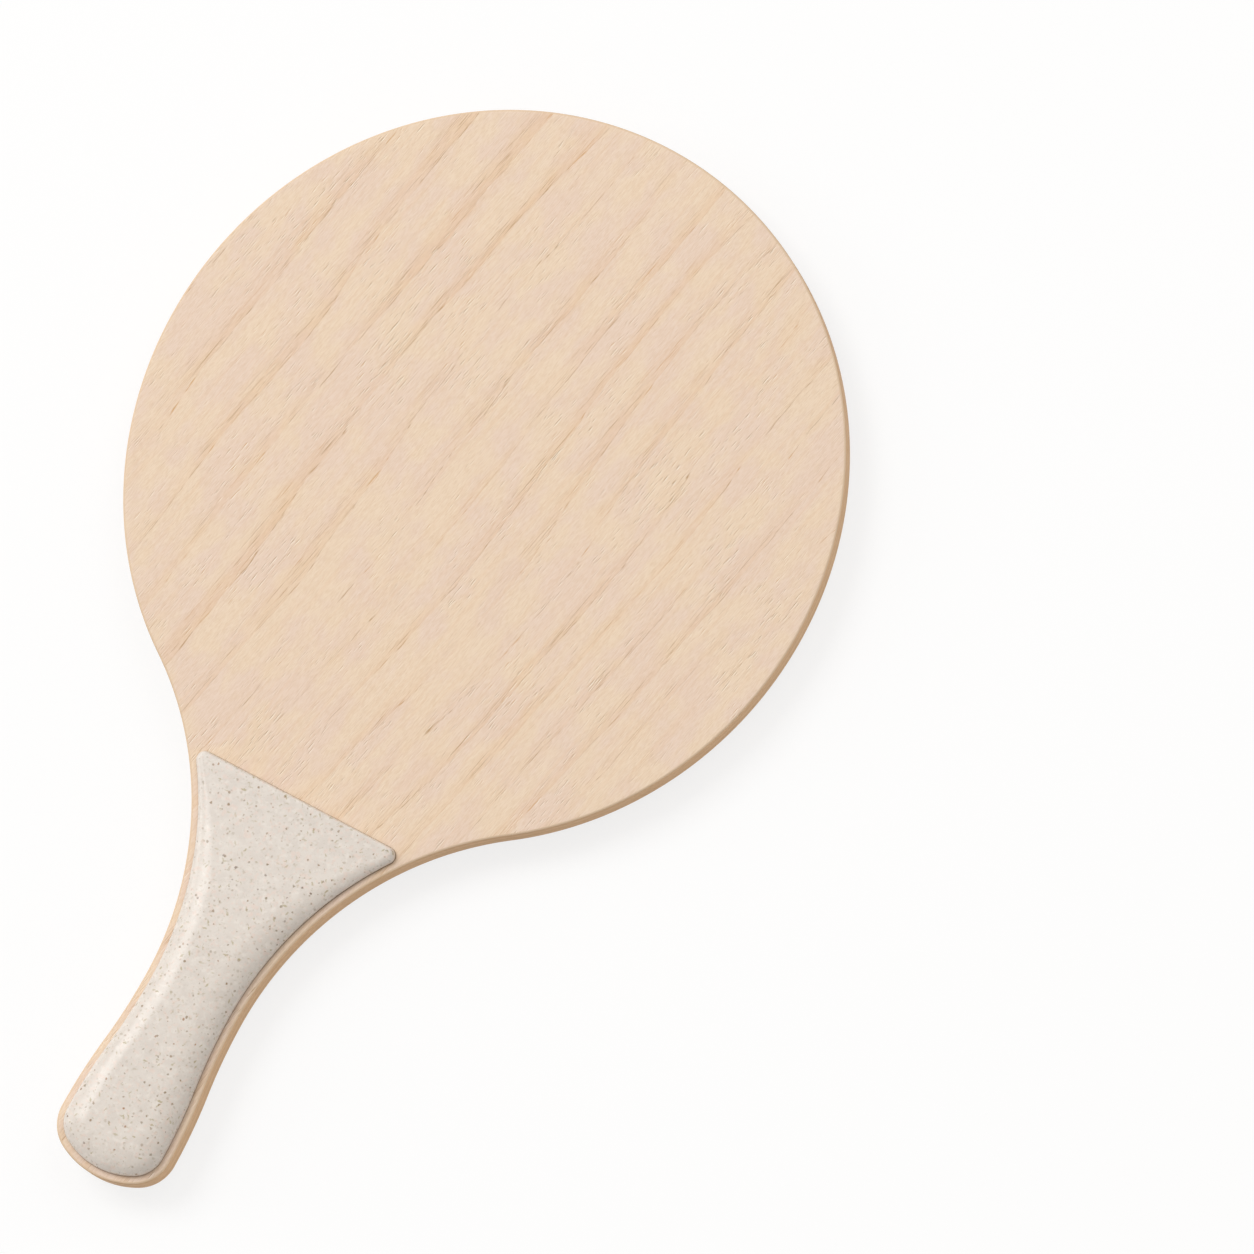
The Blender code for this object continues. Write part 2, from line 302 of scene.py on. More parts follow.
@dataclass(frozen=True)
class PoplarFace(Finish):
    """Poplar veneer, sliced and sanded, left bare.

    To the eye it is a pale pinkish beige with a dull sheen. Its growth bands darken slowly, end in broken
    lines and grow fainter to the right. Open pores run with the grain, some with a golden stain, and the
    short ones have a highlight painted on one lip. Painted shade round the grip draws a thin dark line.

    Real fibres and pores are 0.03 to 0.1 mm wide. Both are drawn coarser, so that they show.
    """

    name: str = "sanded_poplar_veneer"
    pale: str = "#EDD7BE"
    pink: str = "#EAD3C1"
    late_wood: str = "#E2B88C"
    fibre: str = "#D2B08A"
    pore: str = "#9A6C1E"
    stain: str = "#C2872E"
    # Painted highlight: the pale line beside the short pores
    lip_highlight: str = "#FFF6E8"
    # Painted shade: the dark colour laid in the corner beside the grip
    seam_shade_colour: str = "#6E5233"
    arris: str = "#DEC4A5"
    wall: EdgeTone = LONG_GRAIN_EDGE
    smoothest: float = 0.52
    dullest: float = 0.64
    relief_mm: float = 0.05
    relief_share: float = 0.8
    grain_turn: float = math.radians(12)
    left_spacing_mm: float = 19.0
    right_spacing_mm: float = 11.0
    half_width_mm: float = 110.0
    sway_mm: Blots = Blots((60.0, 200.0, 60.0), 1.0, top=20.0)
    ripple_mm: Blots = Blots((8.0, 50.0, 8.0), 2.0, top=4.0)
    waver_mm: Blots = Blots((0.9, 9.0, 0.9), 1.0, top=0.9)
    late_rise: Span = (0.56, 0.955)
    late_fall: Span = (0.958, 0.972)
    late_share: float = 0.33
    line_rise: Span = (0.943, 0.957)
    line_share: float = 0.62
    breaks: Blots = Blots((0.7, 7.0, 0.7), 2.0, 0.47, 0.64)
    vigour: Blots = Blots((22.0, 90.0, 22.0), 1.0, 0.36, 0.66)
    least_vigour: float = 0.10
    left_vigour: float = 1.25
    right_vigour: float = 0.70
    hue_drift: Blots = Blots((9.0, 15.0, 9.0), 2.0, 0.36, 0.64)
    streaks: Blots = Blots((1.1, 45.0, 1.1), 2.0, 0.44, 0.76, top=0.18)
    fibres: Blots = Blots((0.24, 1.8, 0.24), 2.0, 0.34, 0.70, top=0.30)
    pores: Blots = Blots((0.21, 4.4, 0.21), 1.0, 0.62, 0.73, top=0.66)
    flocks: Blots = Blots((9.0, 26.0, 9.0), 2.0, 0.46, 0.66)
    least_flock: float = 0.2
    slits: Blots = Blots((0.21, 12.0, 0.21), 1.0, 0.58, 0.74, top=0.55)
    least_slits: float = 0.06
    crowded_at: float = 0.5
    stains: Blots = Blots((5.0, 30.0, 5.0), 1.0, 0.52, 0.62)
    # Painted highlight: how far beside each short pore it lies, and its strength
    lip_mm: float = 0.3
    lip_highlight_share: float = 1.2
    # Painted seam shade: its occlusion reach and range, and its share from the handle up to the fan
    seam_reach_mm: float = 0.6
    seam_shelter: Span = (0.66, 0.88)
    shelter_samples: int = 8
    shade_low_below: float = -0.120
    shade_full_above: float = -0.055
    handle_shade: float = 0.40
    fan_shade: float = 1.0
    arris_rise: Span = (0.0, 0.12)
    arris_fall: Span = (0.45, 0.6)
    arris_share: float = 0.8
    wall_rise: Span = (0.45, 0.65)

    def bands(self, tree: Tree, grain: Socket) -> tuple[Socket, Socket]:
        """Draw the growth bands, which lie closer together and are fainter on the right of the bat.

        Args:
            tree: The material's nodes.
            grain: Coordinates with Y along the grain.

        Returns:
            Shares of the dark late wood, which rises slowly and ends at once, and of the broken line there.
        """
        across = add_node(tree, "SeparateXYZ", {0: grain}, "X")
        across = add_node(tree, "Math", {0: across, 1: MM_PER_METRE}, operation="MULTIPLY")
        for drift in (self.sway_mm, self.ripple_mm, self.waver_mm):
            across = add_node(tree, "Math", {0: across, 1: drift.draw(tree, grain)}, operation="ADD")
        # The count of bands has a term in the square of the way across, so they crowd evenly to the right
        left, right = 1 / self.left_spacing_mm, 1 / self.right_spacing_mm
        rate = {0: across, 1: (right - left) / (4 * self.half_width_mm), 2: (left + right) / 2}
        rate = add_node(tree, "Math", rate, operation="MULTIPLY_ADD")
        count = add_node(tree, "Math", {0: across, 1: rate}, operation="MULTIPLY")
        phase = add_node(tree, "Math", {0: count}, operation="FRACT")
        late, line = (
            add_node(tree, "MapRange", {0: phase, 1: low, 2: high}, interpolation_type="SMOOTHSTEP")
            for low, high in (self.late_rise, self.line_rise)
        )
        low, high = self.late_fall
        fall = add_node(tree, "MapRange", {0: phase, 1: low, 2: high, 3: 1.0, 4: 0.0})
        fade = {0: across, 1: -self.half_width_mm, 2: self.half_width_mm}
        fade = add_node(tree, "MapRange", {**fade, 3: self.left_vigour, 4: self.right_vigour})
        for factor in (fall, self.vigour.draw(tree, grain, self.least_vigour), fade):
            late = add_node(tree, "Math", {0: late, 1: factor}, operation="MULTIPLY")
        for factor in (fall, self.breaks.draw(tree, grain), self.line_share):
            line = add_node(tree, "Math", {0: line, 1: factor}, operation="MULTIPLY")
        return late, line

    def crowded_pores(self, tree: Tree, grain: Socket, crowds: Socket) -> Socket:
        """Draw the short pores where they crowd."""
        pores = {0: self.pores.draw(tree, grain), 1: crowds}
        return add_node(tree, "Math", pores, operation="MULTIPLY")

    def grooves(self, tree: Tree, grain: Socket, late: Socket, line: Socket, pores: Socket) -> Socket:
        """Draw what is open in the face: short pores, slits that crowd in late wood, and the broken line.

        Args:
            tree: The material's nodes.
            grain: Coordinates with Y along the grain.
            late: The share of late wood.
            line: The share of the line that ends it.
            pores: The share of the short pores.

        Returns:
            The share of each groove's dark floor.
        """
        crowd = {0: late, 1: 0.0, 2: self.crowded_at, 3: self.least_slits, 4: 1.0}
        slits = {0: self.slits.draw(tree, grain), 1: add_node(tree, "MapRange", crowd)}
        floor = add_node(tree, "Math", slits, operation="MULTIPLY")
        for other in (pores, line):
            floor = add_node(tree, "Math", {0: floor, 1: other}, operation="MAXIMUM")
        return floor

    def painted_seam_shade(self, tree: Tree, place: Socket) -> Socket:
        """Draw the painted shade in the sheltered corner beside the grip, where occlusion finds it.

        Args:
            tree: The material's nodes.
            place: Coordinates in metres.

        Returns:
            The painted shade's share.
        """
        reach = {"Distance": self.seam_reach_mm / MM_PER_METRE}
        shelter = add_node(tree, "AmbientOcclusion", reach, "AO", samples=self.shelter_samples)
        low, high = self.seam_shelter
        corner = add_node(tree, "MapRange", {0: shelter, 1: low, 2: high, 3: 1.0, 4: 0.0})
        # The painted shade is fainter along the handle and full at the top of the fan
        shade_by_station = {0: add_node(tree, "SeparateXYZ", {0: place}, "Y"), 1: self.shade_low_below, 2: self.shade_full_above}
        shade_by_station = add_node(tree, "MapRange", {**shade_by_station, 3: self.handle_shade, 4: self.fan_shade})
        return add_node(tree, "Math", {0: corner, 1: shade_by_station}, operation="MULTIPLY")

    def edge_shares(self, tree: Tree) -> tuple[Socket, Socket]:
        """Find the board's edge by the mesh's own share: 0 on the face, over the arris, to 1 down the wall.

        Args:
            tree: The material's nodes.

        Returns:
            Shares of the sanded arris and of the wall.
        """
        share = add_node(tree, "Attribute", output="Fac", attribute_name=EDGE_ATTRIBUTE)
        low, high = self.arris_rise
        rise = add_node(tree, "MapRange", {0: share, 1: low, 2: high, 4: self.arris_share})
        low, high = self.arris_fall
        fall = add_node(tree, "MapRange", {0: share, 1: low, 2: high, 3: 1.0, 4: 0.0})
        arris = add_node(tree, "Math", {0: rise, 1: fall}, operation="MULTIPLY")
        low, high = self.wall_rise
        wall = add_node(tree, "MapRange", {0: share, 1: low, 2: high}, interpolation_type="SMOOTHSTEP")
        return arris, wall

    def paint(self, tree: Tree, shader: Shader) -> None:
        """Link the veneer's grain, pores, painted highlights and shade, and sanded edge to the shader.

        Args:
            tree: The material's nodes.
            shader: Its Principled shader.
        """
        place = add_node(tree, "TexCoord", output="Object")
        grain = {"Vector": place, "Angle": self.grain_turn}
        grain = add_node(tree, "VectorRotate", grain, rotation_type="Z_AXIS")
        late, line = self.bands(tree, grain)
        tan = add_node(tree, "Math", {0: late, 1: self.late_share}, operation="MULTIPLY")
        fibres = self.fibres.draw(tree, grain)
        crowds = self.flocks.draw(tree, grain, self.least_flock)
        grooves = self.grooves(tree, grain, late, line, self.crowded_pores(tree, grain, crowds))
        floor = layered(tree, linear(self.pore), [(self.stains.draw(tree, grain), linear(self.stain))])
        # Painted highlight: a pale line beside each short pore, on the lip where a lamp would light the
        # groove's far wall
        beside = {0: grain, 1: (self.lip_mm / MM_PER_METRE, 0, 0)}
        beside = add_node(tree, "VectorMath", beside, operation="SUBTRACT")
        lip_highlights = {0: self.crowded_pores(tree, beside, crowds), 1: self.lip_highlight_share}
        lip_highlights = add_node(tree, "Math", lip_highlights, operation="MULTIPLY")
        arris, wall = self.edge_shares(tree)
        layers = (
            (self.hue_drift.draw(tree, grain), linear(self.pink)),
            (self.streaks.draw(tree, grain), linear(self.late_wood)),
            (tan, linear(self.late_wood)),
            (fibres, linear(self.fibre)),
            # Painted highlight beside the short pores
            (lip_highlights, linear(self.lip_highlight)),
            (grooves, floor),
            # Painted shade: a thin dark line in the corner beside the grip
            (self.painted_seam_shade(tree, place), linear(self.seam_shade_colour)),
            (arris, linear(self.arris)),
            (wall, self.wall.draw(tree, place)),
        )
        tree.links.new(layered(tree, linear(self.pale), layers), shader.inputs["Base Color"])
        self.vary_sheen(tree, shader, fibres, self.fibres.top)
        self.emboss(tree, shader, add_node(tree, "Math", {0: fibres, 1: grooves}, operation="SUBTRACT"))


@dataclass(frozen=True)
class PlyEdge(Finish):
    """The sanded edge of an inner poplar ply, left bare: an even dull tan with faint layers along it."""

    name: str
    tone: EdgeTone
    smoothest: float = 0.62
    dullest: float = 0.74
    relief_mm: float = 0.02
    relief_share: float = 0.3

    def paint(self, tree: Tree, shader: Shader) -> None:
        """Link the edge's tone and layers to the shader.

        Args:
            tree: The material's nodes.
            shader: Its Principled shader.
        """
        place = add_node(tree, "TexCoord", output="Object")
        tree.links.new(self.tone.draw(tree, place), shader.inputs["Base Color"])
        layers = self.tone.layers.draw(tree, place)
        self.vary_sheen(tree, shader, layers, self.tone.layers.top)
        self.emboss(tree, shader, layers)


@dataclass(frozen=True)
class StrawComposite(Finish):
    """Polypropylene filled with wheat straw, injection moulded, satin.

    To the eye it is a warm off-white with faint clouds, pinkish and milky patches, brown and grey specks of
    husk and short fibres, under the even low gloss of a moulded skin.
    """

    name: str = "moulded_straw_composite"
    light: str = "#E1D9D0"
    cloud: str = "#D6CDC4"
    flake: str = "#B5A996"
    fibre: str = "#A49665"
    blush: str = "#E6CFC2"
    milk: str = "#F0E9E0"
    husk: str = "#8F7350"
    ash: str = "#867559"
    rust: str = "#9A6A38"
    soot: str = "#6A4F36"
    smoothest: float = 0.24
    dullest: float = 0.33
    relief_mm: float = 0.02
    relief_share: float = 0.25
    clouds: Blots = Blots((4.0, 4.0, 4.0), 4.0, 0.36, 0.68, top=0.6)
    blushes: Blots = Blots((1.5, 1.5, 1.5), 1.0, 0.52, 0.72, top=0.5)
    milks: Blots = Blots((1.9, 1.9, 1.9), 1.0, 0.54, 0.74, top=0.4)
    skin: Blots = Blots((1.4, 1.4, 1.4), 2.0)
    flakes: Specks = Specks((1.6, 1.6, 1.6), 0.42, 0.9, 0.08, 0.58)
    fibres: Specks = Specks((1.6, 4.4, 1.6), 0.28, 0.8, 0.10, 0.75)
    fibre_turns: tuple[float, ...] = (25.0, 80.0, 140.0)
    husks: Specks = Specks((1.9, 1.9, 1.9), 0.33, 0.8, 0.20, 0.95)
    brans: Specks = Specks((3.2, 3.2, 3.2), 0.20, 0.7, 0.55, 0.95)
    grey_lots: Span = (0.45, 0.6)
    ragged_cell_mm: float = 0.6
    ragged_mm: float = 0.8

    def paint(self, tree: Tree, shader: Shader) -> None:
        """Link the composite's filler and moulded skin to the shader.

        Args:
            tree: The material's nodes.
            shader: Its Principled shader.
        """
        place = add_node(tree, "TexCoord", output="Object")
        # Filler has ragged edges, so its coordinates are shaken by a fine noise
        shake = {"Vector": in_cells(tree, place, (self.ragged_cell_mm,) * 3), "Scale": 1.0}
        shake = {0: add_node(tree, "TexNoise", shake, "Color"), "Scale": self.ragged_mm / MM_PER_METRE}
        shake = add_node(tree, "VectorMath", shake, operation="SCALE")
        ragged = add_node(tree, "VectorMath", {0: place, 1: shake}, operation="ADD")
        flakes, _ = self.flakes.draw(tree, ragged)
        layers = [
            (self.clouds.draw(tree, place), linear(self.cloud)),
            (self.blushes.draw(tree, place), linear(self.blush)),
            (self.milks.draw(tree, place), linear(self.milk)),
            (flakes, linear(self.flake)),
        ]
        for turn in self.fibre_turns:
            lie = {"Vector": ragged, "Angle": math.radians(turn)}
            lie = add_node(tree, "VectorRotate", lie, rotation_type="Z_AXIS")
            fibres, _ = self.fibres.draw(tree, lie)
            layers.append((fibres, linear(self.fibre)))
        low, high = self.grey_lots
        for specks, brown, grey in ((self.husks, self.husk, self.ash), (self.brans, self.rust, self.soot)):
            shape, lot = specks.draw(tree, ragged)
            greyness = add_node(tree, "MapRange", {0: lot, 1: low, 2: high})
            layers.append((shape, layered(tree, linear(brown), [(greyness, linear(grey))])))
        tree.links.new(layered(tree, linear(self.light), layers), shader.inputs["Base Color"])
        skin = self.skin.draw(tree, place)
        self.vary_sheen(tree, shader, skin, self.skin.top)
        self.emboss(tree, shader, skin)


@dataclass(frozen=True)
class PinPolypropylene(Finish):
    """Plain polypropylene, injection moulded: a dull off-white with faint flow clouds."""

    name: str = "moulded_polypropylene_pin"
    light: str = "#DCD6CC"
    flow: str = "#CFC7BA"
    smoothest: float = 0.41
    dullest: float = 0.51
    clouds: Blots = Blots((1.2, 1.2, 4.0), 2.0, 0.35, 0.65)

    def paint(self, tree: Tree, shader: Shader) -> None:
        """Link the flow clouds to the shader.

        Args:
            tree: The material's nodes.
            shader: Its Principled shader.
        """
        clouds = self.clouds.draw(tree, add_node(tree, "TexCoord", output="Object"))
        colour = layered(tree, linear(self.light), [(clouds, linear(self.flow))])
        tree.links.new(colour, shader.inputs["Base Color"])
        self.vary_sheen(tree, shader, clouds, self.clouds.top)


@dataclass(frozen=True)
class RimPoint:
    """One point of an outline, its outward normal, and how far an inset can go there."""

    point: Vector
    normal: Vector
    room: float = math.inf

    def mirrored(self) -> "RimPoint":
        """The same point on the other side of the bat's middle line."""
        flip = Vector((-1, 1))
        return RimPoint(self.point * flip, self.normal * flip, self.room)


@dataclass(frozen=True)
class BatOutline:
    """The bat's outline, drawn finely from the sizes of the part; stations run up from the butt's end.

    The flank limit is the share of a curve's radius that an inset may use.
    """

    length: float
    blade_width: float
    handle_length: float = 0.137
    waist_width: float = 0.0342
    waist_station: float = 0.0645
    butt_width: float = 0.0408
    butt_bow: float = 0.0086
    butt_corner_radius: float = 0.0130
    flank_limit: float = 0.9
    end_steps: int = 10
    corner_steps: int = 24
    ogee_steps: int = 16
    neck_steps: int = 56
    blade_steps: int = 170
    fan_corner_steps: int = 18
    join_halvings: int = 60
    on_middle_line: float = 1e-6

    @classmethod
    def from_frame(cls) -> "BatOutline":
        """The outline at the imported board's own length and width."""
        low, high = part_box("core_veneer")
        return cls(length=high.y - low.y, blade_width=high.x - low.x)

    def arc(
        self, centre: Vector, radius: float, sweep: Span, steps: int, outward: int = 1, inset: float = 0.0
    ) -> list[RimPoint]:
        """Walk along an arc.

        Args:
            centre: Centre of the arc.
            radius: Radius before the inset.
            sweep: Angles at its start and end.
            steps: How many points it gets; the end itself is left to what follows.
            outward: 1 where the outline bulges and -1 where it is hollow.
            inset: How far the arc lies inside the bat's edge.

        Returns:
            The points in order.
        """
        reach = radius - outward * inset
        room = self.flank_limit * abs(reach) if outward * reach > 0 else math.inf
        points = []
        for step in range(steps):
            angle = sweep[0] + (sweep[1] - sweep[0]) * step / steps
            radial = Vector((math.cos(angle), math.sin(angle)))
            points.append(RimPoint(centre + radial * reach, radial * outward, room))
        return points

    def closed(self, half: list[RimPoint]) -> list[RimPoint]:
        """The whole outline from its right half, which starts on the middle line."""
        left = [rim.mirrored() for rim in reversed(half) if rim.point.x > self.on_middle_line]
        return half + left

    def handle_side(self, inset: float = 0.0) -> list[RimPoint]:
        """Walk up the right side of the handle.

        Args:
            inset: How far the walk lies inside the bat's edge.

        Returns:
            Points from the middle of the butt to the waist.
        """
        half_butt = self.butt_width / 2
        half_waist = self.waist_width / 2
        end_radius = (half_butt**2 + self.butt_bow**2) / (2 * self.butt_bow)
        corner_x = half_butt - self.butt_corner_radius
        drop = math.sqrt((end_radius - self.butt_corner_radius) ** 2 - corner_x**2)
        corner = Vector((corner_x, end_radius - drop))
        turn = math.atan2(-drop, corner_x)
        end_sweep = (-math.pi / 2, turn)
        points = self.arc(Vector((0, end_radius)), end_radius, end_sweep, self.end_steps, inset=inset)
        points += self.arc(corner, self.butt_corner_radius, (turn, 0), self.corner_steps, inset=inset)

        # The side from the butt's corner to the waist is an ogee of two equal arcs
        run = self.waist_station - corner.y
        sweep = 2 * math.atan2(half_butt - half_waist, run)
        radius = run / (2 * math.sin(sweep))
        bulge = Vector((half_butt - radius, corner.y))
        hollow = Vector((half_waist + radius, self.waist_station))
        points += self.arc(bulge, radius, (0, sweep), self.ogee_steps, inset=inset)
        points += self.arc(hollow, radius, (math.pi + sweep, math.pi), self.ogee_steps, -1, inset)
        return points

    def oval(self, angle: float) -> RimPoint:
        """Find a point of the blade's oval.

        Args:
            angle: The oval's parameter, from 0 at the right to a quarter turn at the tip.

        Returns:
            The point and its normal.
        """
        half_width = self.blade_width / 2
        half_length = (self.length - self.handle_length) / 2
        across, along = math.cos(angle), math.sin(angle)
        point = Vector((half_width * across, self.length - half_length + half_length * along))
        return RimPoint(point, Vector((across / half_width, along / half_length)).normalized())

    def neck_join(self) -> tuple[float, Vector, float]:
        """Find where the neck, an arc square to the waist, runs into the blade's oval.

        Returns:
            The oval's angle there, and the arc's centre and radius.
        """
        low, high = -math.pi / 2, 0.0
        for _ in range(self.join_halvings):
            angle = (low + high) / 2
            rim = self.oval(angle)
            radius = (self.waist_station - rim.point.y) / rim.normal.y
            if rim.point.x + rim.normal.x * radius < self.waist_width / 2 + radius:
                low = angle
            else:
                high = angle
        return angle, Vector((self.waist_width / 2 + radius, self.waist_station)), radius

    def whole(self) -> list[RimPoint]:
        """Draw the bat's edge through handle, neck and blade.

        Returns:
            The outline, from the middle of the butt and round by the right.
        """
        join, centre, radius = self.neck_join()
        normal = self.oval(join).normal
        sweep = (math.pi, math.atan2(-normal.y, -normal.x))
        points = self.handle_side() + self.arc(centre, radius, sweep, self.neck_steps, -1)
        for step in range(self.blade_steps + 1):
            points.append(self.oval(join + (math.pi / 2 - join) * step / self.blade_steps))
        return self.closed(points)

    def grip(self, rim: float, top_station: float, corner_radius: float) -> list[RimPoint]:
        """Draw a grip's outline.

        Args:
            rim: Width of wood left bare round it.
            top_station: Where its straight top lies.
            corner_radius: Radius of the fan's two corners.

        Returns:
            The outline, a rim inside the bat.
        """
        _, centre, radius = self.neck_join()
        corner_y = top_station - corner_radius
        reach = radius + rim + corner_radius
        corner_x = centre.x - math.sqrt(reach**2 - (corner_y - self.waist_station) ** 2)
        corner = Vector((corner_x, corner_y))
        turn = math.atan2(corner.y - centre.y, corner.x - centre.x)
        points = self.handle_side(rim) + self.arc(centre, radius, (math.pi, turn), self.neck_steps, -1, rim)
        points += self.arc(corner, corner_radius, (turn - math.pi, math.pi / 2), self.fan_corner_steps)
        top = Vector((corner_x, top_station))
        points.append(RimPoint(top, Vector((0, 1)), self.flank_limit * corner_radius))
        return self.closed(points)

    def place(self, rim: RimPoint, inset: float, height: float) -> Vector:
        """A point of the outline, moved in, at a height in the part's frame."""
        moved = rim.point - rim.normal * inset
        return Vector((moved.x, moved.y - self.length / 2, height))


def add_object(name: str, data: bpy.types.ID) -> bpy.types.Object:
    """Make an object and put it into the scene.

    Args:
        name: The object's name.
        data: Its mesh, lamp or camera.

    Returns:
        The new object.
    """
    thing = bpy.data.objects.new(name, data)
    bpy.context.scene.collection.objects.link(thing)
    return thing


def to_mesh(name: str, shape: Shape, material: Material) -> bpy.types.Mesh:
    """Turn a shape into a mesh.

    Args:
        name: The mesh's name.
        shape: The shape, which is used up.
        material: Its only material.

    Returns:
        The new mesh.
    """
    mesh = bpy.data.meshes.new(name)
    shape.to_mesh(mesh)
    shape.free()
    mesh.materials.append(material)
    return mesh


def add_piece(name: str, shape: Shape, node: str, finish: Material) -> None:
    """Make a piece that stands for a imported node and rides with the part.

    Args:
        name: The piece's name.
        shape: Its shape, which is used up.
        node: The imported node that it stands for.
        finish: Its material.
    """
    bmesh.ops.recalc_face_normals(shape, faces=shape.faces)
    mesh = to_mesh(name, shape, finish)
    mesh.shade_smooth()
    mesh.set_sharp_from_angle(angle=SMOOTH_ANGLE)
    piece = add_object(name, mesh)
    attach(piece, BODY)
    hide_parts(node)
    LOG.info("%s stands for %s, with %d faces", name, node, len(mesh.polygons))


def join_rings(shape: Shape, rows: Sequence[Loop]) -> None:
    """Span rings of matching points with strips of faces.

    Args:
        shape: The shape that they belong to.
        rows: The rings in order.
    """
    for lower, upper in zip(rows, rows[1:]):
        for i, corner in enumerate(lower):
            j = (i + 1) % len(lower)
            shape.faces.new((corner, lower[j], upper[j], upper[i]))


@dataclass(frozen=True)
class Ply:
    """One ply of the board: its piece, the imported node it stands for, its slot, and any face it shows."""

    piece: str
    node: str
    slot: str
    face: Side | None = None


@dataclass
class Board:
    """The plywood bat: five plies, the outer two with a sanded arris, all bored for the pins."""

    outline: BatOutline
    arris_radius: float = 0.0008
    arris_steps: int = 6
    flat_margin: float = 0.0012
    hole_sides: int = 32
    pin_clearance: float = 0.0003

    def pin_holes(self) -> list[tuple[float, float, float]]:
        """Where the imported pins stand.

        Returns:
            X, Y and radius of each hole.
        """
        holes = []
        for node in PressPins.nodes():
            low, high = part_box(node)
            middle = (low + high) / 2
            holes.append((middle.x, middle.y, (high.x - low.x) / 2 + self.pin_clearance))
        return holes

    def levels(self, low: float, high: float, face: Side | None) -> list[tuple[float, float, float]]:
        """List the rings that a ply's edge is drawn through, from its inner face outwards.

        Args:
            low: Height of the ply's lower face.
            high: Height of its upper face.
            face: The side that the ply shows, if it is an outer one.

        Returns:
            Inset, height and edge share of each ring.
        """
        if face is None:
            return [(0.0, low, 1.0), (0.0, high, 1.0)]
        inner, outer = (low, high) if face is Side.FRONT else (high, low)
        rings = [(0.0, inner, 1.0)]
        for step in range(self.arris_steps + 1):
            angle = math.pi / 2 * step / self.arris_steps
            inset = self.arris_radius * (1 - math.cos(angle))
            height = outer - face.value * self.arris_radius * (1 - math.sin(angle))
            rings.append((inset, height, 1 - step / self.arris_steps))
        rings.append((self.arris_radius + self.flat_margin, outer, 0.0))
        return rings

    def build(self, ply: Ply, finish: Material) -> None:
        """Model one ply and dress it.

        Args:
            ply: Which ply.
            finish: Its material.
        """
        low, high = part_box(ply.node)
        shape = bmesh.new()
        share = shape.verts.layers.float.new(EDGE_ATTRIBUTE)
        rim = self.outline.whole()
        levels = self.levels(low.z, high.z, ply.face)
        rows = []
        for inset, height, edge in levels:
            row = [shape.verts.new(self.outline.place(point, inset, height)) for point in rim]
            for corner in row:
                corner[share] = edge
            rows.append(row)
        join_rings(shape, rows)

        # Each end of the ply is filled between its outer ring and the rings of the pins' holes
        ends = [[rows[0]], [rows[-1]]]
        angles = [2 * math.pi * side / self.hole_sides for side in range(self.hole_sides)]
        for x, y, radius in self.pin_holes():
            circle = [(x + radius * math.cos(angle), y + radius * math.sin(angle)) for angle in angles]
            bores = []
            for _, height, _ in (levels[0], levels[-1]):
                bores.append([shape.verts.new((*spot, height)) for spot in circle])
            join_rings(shape, bores)
            for end, bore in zip(ends, bores):
                end.append(bore)
        for loops in ends:
            edges = [shape.edges.get((loop[i - 1], loop[i])) for loop in loops for i in range(len(loop))]
            bmesh.ops.triangle_fill(shape, use_beauty=True, edges=edges)
        add_piece(ply.piece, shape, ply.node, finish)

    def dress(self) -> None:
        """Build every ply with its own finish."""
        face = PoplarFace().material()
        band = PlyEdge("sanded_poplar_crossband_edge", CROSS_GRAIN_EDGE).material()
        core = PlyEdge("sanded_poplar_core_edge", LONG_GRAIN_EDGE).material()
        self.build(Ply("front_face_ply", "front_face_veneer", "face_veneer", Side.FRONT), face)
        self.build(Ply("front_cross_ply", "front_crossband", "crossband"), band)
        self.build(Ply("core_ply", "core_veneer", "core_veneer"), core)
        self.build(Ply("rear_cross_ply", "rear_crossband", "crossband"), band)
        self.build(Ply("rear_face_ply", "rear_face_veneer", "face_veneer", Side.REAR), face)


